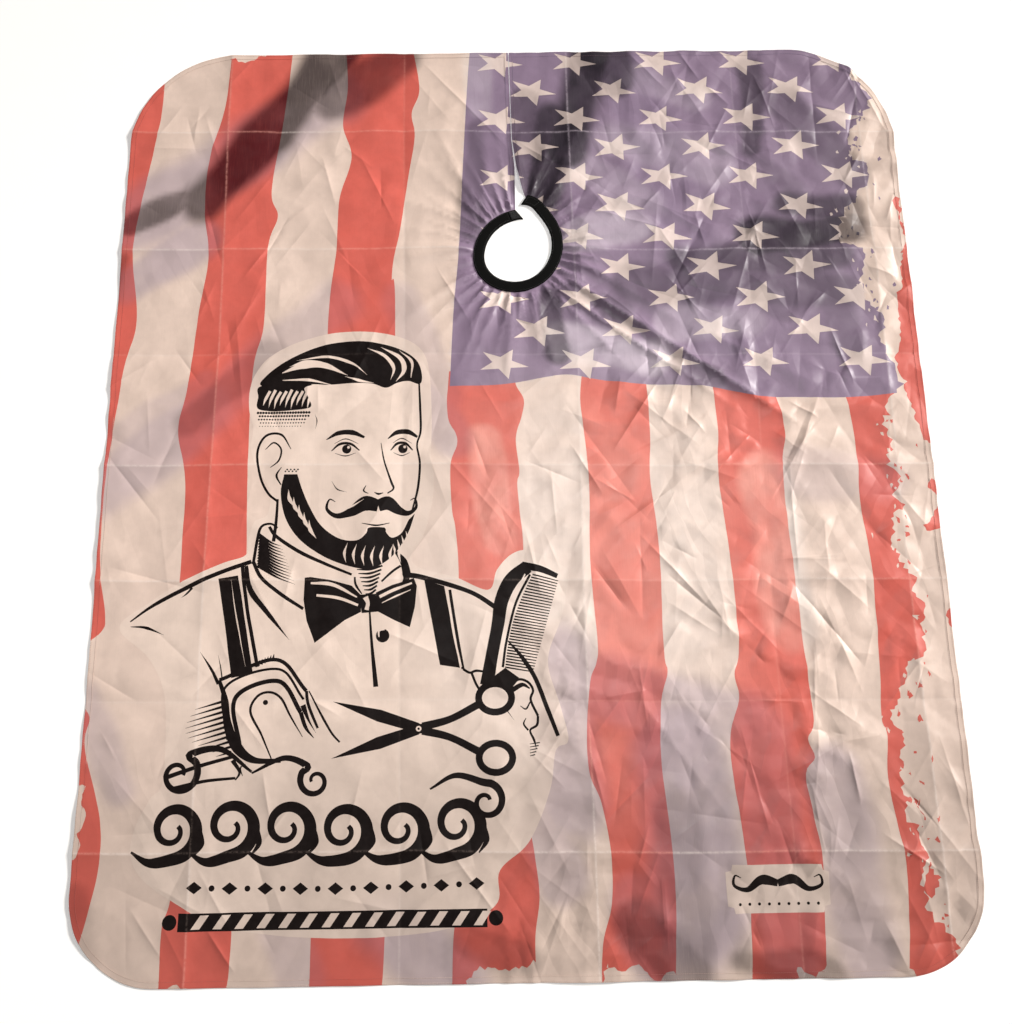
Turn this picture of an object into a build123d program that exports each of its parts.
from build123d import *
import os

# A barber cape laid flat, face side up: a hemmed panel with a back slit and a gathered neckband.
# X runs across the width, Y along the length towards the neck edge, Z up from the surface it lies on.
# All sizes are in millimetres.

# Panel
WIDTH = 1400
LENGTH = 1600
NECK_CORNER_RADIUS = 190
FRONT_CORNER_RADIUS = 135
PANEL_HEIGHT = 2.0

# Perimeter hem: an overlocked edge, a folded hem and one line of lock stitch
OVERLOCK_WIDTH = 3
HEM_WIDTH = 11
HEM_HEIGHT = 2.6
STITCH_INSET = 9
THREAD_WIDTH = 0.6
THREAD_HEIGHT = 0.4

# Back slit: closed near the neck edge of the cape, open to a narrow V beside the neckband
SLIT_LEFT_EDGE = [(-6, 801), (-3, 620), (2, 560), (2, 470)]
SLIT_FOOT = (16, 462)
SLIT_RIGHT_EDGE = [(26, 490), (19.5, 505), (16, 515), (5.5, 560), (-1.6, 620), (-4.6, 801)]
SLIT_HEM_WIDTH = 8
SLIT_STITCH_INSET = 6

# Neckband: the line along its middle is a chain of tangent arcs, each a radius and a turn in degrees
NECK_START = (9, 467)
NECK_HEADING = 187
LEFT_TAB_ARC = (84, 13)
BAND_ARCS = [(84, 68), (57, 69), (74, 74), (88, 70), (250, 8)]
RIGHT_TAB_ARC = (35, 47)
HALF_BAND = 10
FOLD_THICKNESS = 1.0
LINING_TOP = 1.0
ELASTIC_TOP = PANEL_HEIGHT
BAND_TOP = 3.4
SEAM_EDGE = 6
GATHERING_LINE = 5.4
SEAM_STITCH_LINE = 7.6
EDGE_STITCH_LINE = -7.6

# Closure tabs: the two free ends of the neckband, cut on a slant, with hook and loop tape
TAB_CLEARANCE = 0.3
TIP_EXTENSION = 12
CUT_REACH = 40
LEFT_TIP_SLANT = 308
RIGHT_TIP_SLANT = 237
TAPE_MARGIN = 2.5
TAPE_THICKNESS = 1.0
TAPE_STITCH_MARGIN = 4
LEFT_TAB_TOP = BAND_TOP - TAPE_THICKNESS
HOOK_TAPE_BOTTOM = 0.2
RIGHT_TAB_BOTTOM = HOOK_TAPE_BOTTOM + TAPE_THICKNESS


def chain_end(start, heading, arcs):
    """The point and heading at the end of a chain of left-turning tangent arcs."""
    point = Vector(*start)
    for radius, turn in arcs:
        point += Vector(0, radius).rotate(Axis.Z, heading)
        heading += turn
        point -= Vector(0, radius).rotate(Axis.Z, heading)
    return point, heading


def parallel_arcs(start, heading, arcs, side):
    """Draws the chain of arcs moved sideways: to the outside of the ring where side is positive."""
    point = Vector(*start) - Vector(0, side).rotate(Axis.Z, heading)
    first = point
    for radius, turn in arcs:
        arc = JernArc(point, Vector(1, 0).rotate(Axis.Z, heading), radius + side, turn)
        point = arc @ 1
        heading += turn
    return first, point


def ribbon(start, heading, arcs, inner, outer):
    """A flat strip along the chain of arcs, between two sideways distances from it."""
    with BuildSketch() as strip:
        with BuildLine():
            inner_start, inner_end = parallel_arcs(start, heading, arcs, inner)
            outer_start, outer_end = parallel_arcs(start, heading, arcs, outer)
            Line(inner_start, outer_start)
            Line(inner_end, outer_end)
        make_face()
    return strip.sketch


def outline(inset):
    """The cape's rounded outline, moved inwards."""
    with BuildSketch() as shape:
        Rectangle(WIDTH - 2 * inset, LENGTH - 2 * inset)
        corners = shape.vertices().group_by(Axis.Y)
        fillet(corners[0], FRONT_CORNER_RADIUS - inset)
        corners = shape.vertices().group_by(Axis.Y)
        fillet(corners[-1], NECK_CORNER_RADIUS - inset)
    return shape.sketch


def region(points):
    """A flat polygon."""
    with BuildSketch() as shape:
        with BuildLine():
            Polyline(*points, close=True)
        make_face()
    return shape.sketch


def shifted(points, distance):
    return [(x + distance, y) for x, y in points]


def beside(edge, near, far):
    """A flat strip beside one edge of the slit, between two distances from it along X."""
    return region(shifted(edge, near) + shifted(reversed(edge), far))


def sideways(distance, heading):
    """A step of the given distance to the left of a heading."""
    return Vector(0, distance).rotate(Axis.Z, heading)


LEFT_ROOT, LEFT_ROOT_HEADING = chain_end(NECK_START, NECK_HEADING, [LEFT_TAB_ARC])
RIGHT_ROOT, RIGHT_ROOT_HEADING = chain_end(LEFT_ROOT, LEFT_ROOT_HEADING, BAND_ARCS)

# Each tab: its root, the heading from root to tip, its arc, which way it bends and the slant of its cut
LEFT_TAB = (LEFT_ROOT, LEFT_ROOT_HEADING + 180, LEFT_TAB_ARC, -1, LEFT_TIP_SLANT)
RIGHT_TAB = (RIGHT_ROOT, RIGHT_ROOT_HEADING, RIGHT_TAB_ARC, 1, RIGHT_TIP_SLANT)


def band_strip(inner, outer):
    return ribbon(LEFT_ROOT, LEFT_ROOT_HEADING, BAND_ARCS, inner, outer)


def beyond_cut(tip, slant, heading):
    """A large face beyond the slanted cut through a tip."""
    along = Vector(CUT_REACH, 0).rotate(Axis.Z, slant)
    away = Vector(CUT_REACH, 0).rotate(Axis.Z, heading)
    corners = [tip + along, tip - along, tip - along + away, tip + along + away]
    return region([(corner.X, corner.Y) for corner in corners])


def tab_strip(tab, margin, root_gap=0):
    """A tab's flat shape, with its edges moved inwards by margin and its root cut back by root_gap."""
    root, heading, (radius, turn), bend, slant = tab
    half = HALF_BAND - margin
    forwards = Vector(1, 0).rotate(Axis.Z, heading)
    tip_heading = heading + bend * turn
    tip = root + sideways(bend * radius, heading) - sideways(bend * radius, tip_heading)
    tip -= Vector(margin, 0).rotate(Axis.Z, tip_heading)
    with BuildSketch() as strip:
        with BuildLine():
            inner = JernArc(root + sideways(bend * half, heading), forwards, radius - half, bend * turn)
            outer = JernArc(root - sideways(bend * half, heading), forwards, radius + half, bend * turn)
            inner_tip = Line(inner @ 1, inner @ 1 + (inner % 1) * TIP_EXTENSION)
            outer_tip = Line(outer @ 1, outer @ 1 + (outer % 1) * TIP_EXTENSION)
            Line(inner @ 0, outer @ 0)
            Line(inner_tip @ 1, outer_tip @ 1)
        make_face()
        add(beyond_cut(tip, slant, tip_heading), mode=Mode.SUBTRACT)
        if root_gap > 0:
            with Locations(Location((root.X, root.Y, 0), (0, 0, heading))):
                Rectangle(2 * root_gap, 2 * CUT_REACH, mode=Mode.SUBTRACT)
    return strip.sketch


def stitched_box(tab):
    """The closed line of thread that holds a tape on its tab."""
    inside = TAPE_STITCH_MARGIN + THREAD_WIDTH
    with BuildSketch() as box:
        add(tab_strip(tab, TAPE_STITCH_MARGIN, TAPE_STITCH_MARGIN))
        add(tab_strip(tab, inside, inside), mode=Mode.SUBTRACT)
    return box.sketch


def neck_opening(side):
    """Everything inside the neckband's line moved sideways, with the room that the two tabs need."""
    arcs = [LEFT_TAB_ARC] + BAND_ARCS + [RIGHT_TAB_ARC]
    with BuildSketch() as shape:
        with BuildLine():
            first, last = parallel_arcs(NECK_START, NECK_HEADING, arcs, side)
            Line(last, first)
        make_face()
        add(tab_strip(LEFT_TAB, -TAB_CLEARANCE))
        add(tab_strip(RIGHT_TAB, -TAB_CLEARANCE))
    return shape.sketch


SLIT = region(SLIT_LEFT_EDGE + [SLIT_FOOT] + SLIT_RIGHT_EDGE)
os.makedirs("parts", exist_ok=True)

# The printed panel, cut inside its hems, with its gathered edge tucked under the neckband
with BuildPart() as cape_panel:
    with BuildSketch():
        add(outline(HEM_WIDTH))
        add(SLIT, mode=Mode.SUBTRACT)
        add(beside(SLIT_LEFT_EDGE, -SLIT_HEM_WIDTH, 0), mode=Mode.SUBTRACT)
        add(beside(SLIT_RIGHT_EDGE, 0, SLIT_HEM_WIDTH), mode=Mode.SUBTRACT)
        add(neck_opening(SEAM_EDGE), mode=Mode.SUBTRACT)
    extrude(amount=PANEL_HEIGHT)
cape_panel.part.label = "cape_panel"
export_step(cape_panel.part, "parts/cape_panel.step")

# The folded hem all round, broken only by the slit
with BuildPart() as perimeter_hem:
    with BuildSketch():
        add(outline(OVERLOCK_WIDTH))
        add(outline(HEM_WIDTH), mode=Mode.SUBTRACT)
        add(SLIT, mode=Mode.SUBTRACT)
    extrude(amount=HEM_HEIGHT)
perimeter_hem.part.label = "perimeter_hem"
export_step(perimeter_hem.part, "parts/perimeter_hem.step")

# The overlock thread that binds the outermost edge
with BuildPart() as hem_overlock:
    with BuildSketch():
        add(outline(0))
        add(outline(OVERLOCK_WIDTH), mode=Mode.SUBTRACT)
        add(SLIT, mode=Mode.SUBTRACT)
    extrude(amount=HEM_HEIGHT + THREAD_HEIGHT)
hem_overlock.part.label = "hem_overlock"
export_step(hem_overlock.part, "parts/hem_overlock.step")

# The line of lock stitch that holds the folded hem down
with BuildPart() as hem_stitching:
    with BuildSketch(Plane.XY.offset(HEM_HEIGHT)):
        add(outline(STITCH_INSET))
        add(outline(STITCH_INSET + THREAD_WIDTH), mode=Mode.SUBTRACT)
        add(SLIT, mode=Mode.SUBTRACT)
    extrude(amount=THREAD_HEIGHT)
hem_stitching.part.label = "hem_stitching"
export_step(hem_stitching.part, "parts/hem_stitching.step")

# The narrow hems along the slit, which stop at the neckband
with BuildPart() as slit_hem_left:
    with BuildSketch():
        add(beside(SLIT_LEFT_EDGE, -SLIT_HEM_WIDTH, 0))
        add(outline(HEM_WIDTH), mode=Mode.INTERSECT)
        add(neck_opening(HALF_BAND + TAB_CLEARANCE), mode=Mode.SUBTRACT)
    extrude(amount=HEM_HEIGHT)
slit_hem_left.part.label = "slit_hem_left"
export_step(slit_hem_left.part, "parts/slit_hem_left.step")

with BuildPart() as slit_hem_right:
    with BuildSketch():
        add(beside(SLIT_RIGHT_EDGE, 0, SLIT_HEM_WIDTH))
        add(outline(HEM_WIDTH), mode=Mode.INTERSECT)
        add(neck_opening(HALF_BAND + TAB_CLEARANCE), mode=Mode.SUBTRACT)
    extrude(amount=HEM_HEIGHT)
slit_hem_right.part.label = "slit_hem_right"
export_step(slit_hem_right.part, "parts/slit_hem_right.step")

# The stitching on the two slit hems
with BuildPart() as slit_stitching_left:
    with BuildSketch(Plane.XY.offset(HEM_HEIGHT)):
        add(beside(SLIT_LEFT_EDGE, -SLIT_STITCH_INSET - THREAD_WIDTH, -SLIT_STITCH_INSET))
        add(outline(HEM_WIDTH), mode=Mode.INTERSECT)
        add(neck_opening(HALF_BAND + TAB_CLEARANCE), mode=Mode.SUBTRACT)
    extrude(amount=THREAD_HEIGHT)
slit_stitching_left.part.label = "slit_stitching_left"
export_step(slit_stitching_left.part, "parts/slit_stitching_left.step")

with BuildPart() as slit_stitching_right:
    with BuildSketch(Plane.XY.offset(HEM_HEIGHT)):
        add(beside(SLIT_RIGHT_EDGE, SLIT_STITCH_INSET, SLIT_STITCH_INSET + THREAD_WIDTH))
        add(outline(HEM_WIDTH), mode=Mode.INTERSECT)
        add(neck_opening(HALF_BAND + TAB_CLEARANCE), mode=Mode.SUBTRACT)
    extrude(amount=THREAD_HEIGHT)
slit_stitching_right.part.label = "slit_stitching_right"
export_step(slit_stitching_right.part, "parts/slit_stitching_right.step")

# The neckband's face ply, with its folded edge turned down at the neck side
with BuildPart() as neckband_outer:
    with BuildSketch(Plane.XY.offset(ELASTIC_TOP)):
        add(band_strip(-HALF_BAND, HALF_BAND))
    extrude(amount=BAND_TOP - ELASTIC_TOP)
    with BuildSketch():
        add(band_strip(-HALF_BAND, -HALF_BAND + FOLD_THICKNESS))
    extrude(amount=ELASTIC_TOP)
neckband_outer.part.label = "neckband_outer"
export_step(neckband_outer.part, "parts/neckband_outer.step")

# The ply that lies against the neck
with BuildPart() as neckband_lining:
    with BuildSketch():
        add(band_strip(-HALF_BAND + FOLD_THICKNESS, SEAM_EDGE))
    extrude(amount=LINING_TOP)
neckband_lining.part.label = "neckband_lining"
export_step(neckband_lining.part, "parts/neckband_lining.step")

# The elastic inside the band
with BuildPart() as neckband_elastic:
    with BuildSketch(Plane.XY.offset(LINING_TOP)):
        add(band_strip(-HALF_BAND + FOLD_THICKNESS, GATHERING_LINE - THREAD_WIDTH))
    extrude(amount=ELASTIC_TOP - LINING_TOP)
neckband_elastic.part.label = "neckband_elastic"
export_step(neckband_elastic.part, "parts/neckband_elastic.step")

# The thread that draws the panel's neck edge into gathers, inside the seam
with BuildPart() as gathering_thread:
    with BuildSketch(Plane.XY.offset(LINING_TOP)):
        add(band_strip(GATHERING_LINE - THREAD_WIDTH / 2, GATHERING_LINE + THREAD_WIDTH / 2))
    extrude(amount=ELASTIC_TOP - LINING_TOP)
gathering_thread.part.label = "gathering_thread"
export_step(gathering_thread.part, "parts/gathering_thread.step")

# The two rows of stitching on the band's face
with BuildPart() as band_seam_stitching:
    with BuildSketch(Plane.XY.offset(BAND_TOP)):
        add(band_strip(SEAM_STITCH_LINE, SEAM_STITCH_LINE + THREAD_WIDTH))
    extrude(amount=THREAD_HEIGHT)
band_seam_stitching.part.label = "band_seam_stitching"
export_step(band_seam_stitching.part, "parts/band_seam_stitching.step")

with BuildPart() as band_edge_stitching:
    with BuildSketch(Plane.XY.offset(BAND_TOP)):
        add(band_strip(EDGE_STITCH_LINE, EDGE_STITCH_LINE + THREAD_WIDTH))
    extrude(amount=THREAD_HEIGHT)
band_edge_stitching.part.label = "band_edge_stitching"
export_step(band_edge_stitching.part, "parts/band_edge_stitching.step")

# The left tab with loop tape on its face
with BuildPart() as closure_tab_left:
    with BuildSketch():
        add(tab_strip(LEFT_TAB, 0, TAB_CLEARANCE))
    extrude(amount=LEFT_TAB_TOP)
closure_tab_left.part.label = "closure_tab_left"
export_step(closure_tab_left.part, "parts/closure_tab_left.step")

with BuildPart() as loop_tape:
    with BuildSketch(Plane.XY.offset(LEFT_TAB_TOP)):
        add(tab_strip(LEFT_TAB, TAPE_MARGIN, TAPE_MARGIN))
    extrude(amount=TAPE_THICKNESS)
loop_tape.part.label = "loop_tape"
export_step(loop_tape.part, "parts/loop_tape.step")

with BuildPart() as loop_tape_stitching:
    with BuildSketch(Plane.XY.offset(BAND_TOP)):
        add(stitched_box(LEFT_TAB))
    extrude(amount=THREAD_HEIGHT)
loop_tape_stitching.part.label = "loop_tape_stitching"
export_step(loop_tape_stitching.part, "parts/loop_tape_stitching.step")

# The right tab with hook tape on its underside
with BuildPart() as closure_tab_right:
    with BuildSketch(Plane.XY.offset(RIGHT_TAB_BOTTOM)):
        add(tab_strip(RIGHT_TAB, 0, TAB_CLEARANCE))
    extrude(amount=BAND_TOP - RIGHT_TAB_BOTTOM)
closure_tab_right.part.label = "closure_tab_right"
export_step(closure_tab_right.part, "parts/closure_tab_right.step")

with BuildPart() as hook_tape:
    with BuildSketch(Plane.XY.offset(HOOK_TAPE_BOTTOM)):
        add(tab_strip(RIGHT_TAB, TAPE_MARGIN, TAPE_MARGIN))
    extrude(amount=TAPE_THICKNESS)
hook_tape.part.label = "hook_tape"
export_step(hook_tape.part, "parts/hook_tape.step")

with BuildPart() as hook_tape_stitching:
    with BuildSketch(Plane.XY.offset(BAND_TOP)):
        add(stitched_box(RIGHT_TAB))
    extrude(amount=THREAD_HEIGHT)
hook_tape_stitching.part.label = "hook_tape_stitching"
export_step(hook_tape_stitching.part, "parts/hook_tape_stitching.step")
